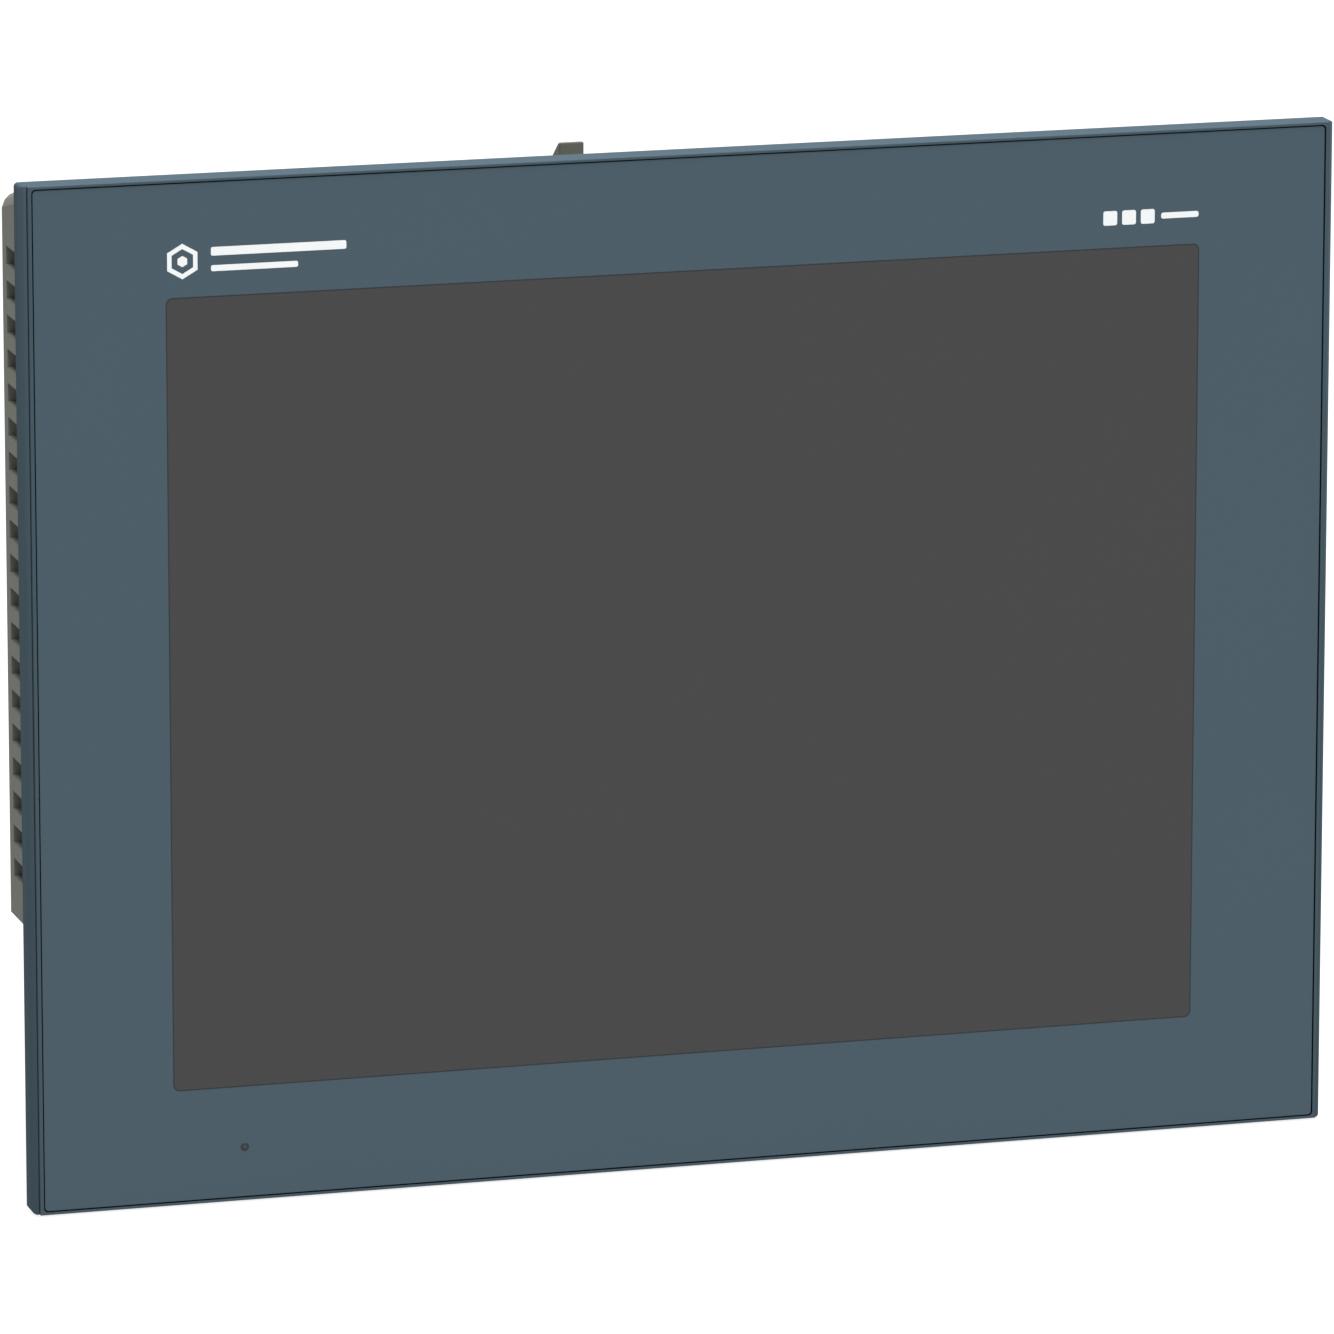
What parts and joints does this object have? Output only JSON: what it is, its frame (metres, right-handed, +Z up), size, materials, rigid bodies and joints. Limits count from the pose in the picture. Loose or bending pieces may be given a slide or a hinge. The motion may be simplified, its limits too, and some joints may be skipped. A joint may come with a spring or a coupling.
{
  "type": "panel-mount touch operator terminal",
  "caption": "Panel-mount touch operator terminal: slim bezel with a flush touch window, vented rear housing, drop hook, card cover and connectors underneath.",
  "frame": {"origin": "centre of the panel cut-out, on the plane where the gasket meets the panel's front face", "axes": "+X to the right seen from the front, +Y backwards through the cut-out, +Z up; the display faces -Y"},
  "size_m": [0.315, 0.056, 0.241],
  "materials": {
    "bezel_plastic": "fine matt texture",
    "front_film": "matt hard-coated film",
    "window_film": "matt smoked window over a display that is off",
    "touch_glass": "clear",
    "foam": "closed-cell foam",
    "film_orange": "flexible circuit",
    "light_grey_lens": "smoked",
    "board_green": "solder mask on glass-epoxy",
    "gasket_rubber": "satin",
    "bright_steel": "zinc plated sheet",
    "lcd_cell": "polariser on glass",
    "white_film": "white diffusing film",
    "clear_acrylic": "clear moulded",
    "connector_white": "moulded",
    "screw_steel": "zinc plated",
    "brass": "plated",
    "chip_black": "moulded epoxy",
    "aluminium": "extruded, plain",
    "connector_black": "moulded",
    "transformer_tape": "tape and ferrite",
    "gold_contact": "gold flash",
    "connector_green": "moulded",
    "switch_red": "moulded",
    "housing_plastic": "fine matt texture",
    "label_white": "printed film"
  },
  "bodies": {
    "terminal": {"front_bezel": "bezel_plastic", "overlay_sheet": "front_film", "display_window": "window_film", "touch_panel": "touch_glass", "touch_adhesive": "foam", "touch_flex": "film_orange", "status_light_pipe": "light_grey_lens", "status_led_board": "board_green", "panel_gasket": "gasket_rubber", "lcd_foam": "foam", "lcd_front_frame": "bright_steel", "lcd_glass": "lcd_cell", "lcd_diffuser": "white_film", "lcd_light_guide": "clear_acrylic", "lcd_led_bar": "white_film", "lcd_rear_tray": "bright_steel", "lcd_control_board": "board_green", "lcd_rear_pads": "foam", "display_cable": "connector_white", "backlight_cable": "connector_white", "chassis_plate": "bright_steel", "chassis_screws": "screw_steel", "housing_posts": "screw_steel", "board_standoffs": "brass", "main_board": "board_green", "board_chips": "chip_black", "processor_heatsink": "aluminium", "capacitors": "connector_black", "power_transformer": "transformer_tape", "battery_holder": "connector_black", "clock_battery": "bright_steel", "buzzer": "connector_black", "serial_shell": "bright_steel", "serial_insulator": "connector_black", "serial_pins": "gold_contact", "serial_jack_posts": "screw_steel", "serial_jack": "bright_steel", "ethernet_jack": "bright_steel", "jack_contacts": "gold_contact", "usb_host_shells": "bright_steel", "usb_host_tongues": "connector_white", "usb_device_port": "bright_steel", "power_header": "connector_green", "power_header_pins": "screw_steel", "card_socket_base": "connector_black", "card_socket_shell": "bright_steel", "dip_switch_body": "switch_red", "cover_hinge_pin": "screw_steel", "rear_housing": "housing_plastic", "rear_screws": "screw_steel", "hook_spring": "screw_steel", "rating_label": "label_white"},
    "drop_hook": {"drop_hook": "housing_plastic"},
    "card_cover": {"card_cover": "housing_plastic"},
    "power_plug": {"power_plug": "connector_green", "power_plug_screws": "screw_steel"},
    "dip_slider_1": {"dip_slider_1": "connector_white"},
    "dip_slider_2": {"dip_slider_2": "connector_white"},
    "dip_slider_3": {"dip_slider_3": "connector_white"},
    "dip_slider_4": {"dip_slider_4": "connector_white"}
  },
  "joints": [
    {"name": "hook_pivot", "type": "hinge", "parent": "terminal", "child": "drop_hook", "pos_m": [-0.0185, 0.012, 0.1096], "axis": [1, 0, 0], "range_deg": [-20, 0], "stiffness_Nm_per_rad": 0.05, "springref_deg": 20.05, "deforming": ["hook_spring"]},
    {"name": "card_cover_hinge", "type": "hinge", "parent": "terminal", "child": "card_cover", "pos_m": [0.1482, 0.0329, -0.029], "axis": [0, 0, 1], "range_deg": [0, 95]},
    {"name": "power_plug_slide", "type": "slide", "parent": "terminal", "child": "power_plug", "axis": [0, 0, -1], "range_m": [0, 0.012]},
    {"name": "dip_slide_1", "type": "slide", "parent": "terminal", "child": "dip_slider_1", "axis": [0, 1, 0], "range_m": [0, 0.0016]},
    {"name": "dip_slide_2", "type": "slide", "parent": "terminal", "child": "dip_slider_2", "axis": [0, 1, 0], "range_m": [0, 0.0016]},
    {"name": "dip_slide_3", "type": "slide", "parent": "terminal", "child": "dip_slider_3", "axis": [0, 1, 0], "range_m": [0, 0.0016]},
    {"name": "dip_slide_4", "type": "slide", "parent": "terminal", "child": "dip_slider_4", "axis": [0, 1, 0], "range_m": [0, 0.0016]}
  ]
}
